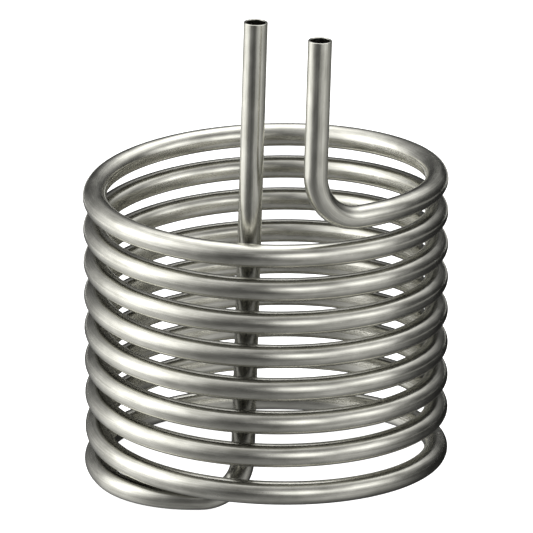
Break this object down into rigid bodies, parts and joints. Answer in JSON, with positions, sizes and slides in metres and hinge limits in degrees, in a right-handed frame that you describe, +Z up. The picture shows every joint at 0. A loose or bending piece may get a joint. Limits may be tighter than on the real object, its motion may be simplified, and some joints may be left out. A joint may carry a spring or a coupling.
{
  "type": "immersion wort chiller",
  "caption": "Immersion wort chiller: a bare stainless tube wound into an open upright coil, with a short outlet leg at its top and a tall riser standing inside it.",
  "frame": {"origin": "on the coil's axis, at the floor that the bottom turn lies on", "axes": "+Z up along the coil's axis; both legs stand on the -Y side, the riser left of the short leg when seen from -Y with +X to the right"},
  "size_m": [0.1983, 0.1989, 0.2731],
  "materials": {
    "stainless_tube": "satin drawn stainless steel, bright but not polished"
  },
  "bodies": {
    "root": {"short_leg": "stainless_tube", "short_leg_elbow": "stainless_tube", "coil_top_turn": "stainless_tube", "coil_turn_1": "stainless_tube", "coil_turn_2": "stainless_tube", "coil_turn_3": "stainless_tube", "coil_turn_4": "stainless_tube", "coil_turn_5": "stainless_tube", "coil_turn_6": "stainless_tube", "coil_turn_7": "stainless_tube", "coil_turn_8": "stainless_tube", "coil_bottom_turn": "stainless_tube", "foot_bend": "stainless_tube", "riser_elbow": "stainless_tube", "riser": "stainless_tube"}
  },
  "joints": []
}
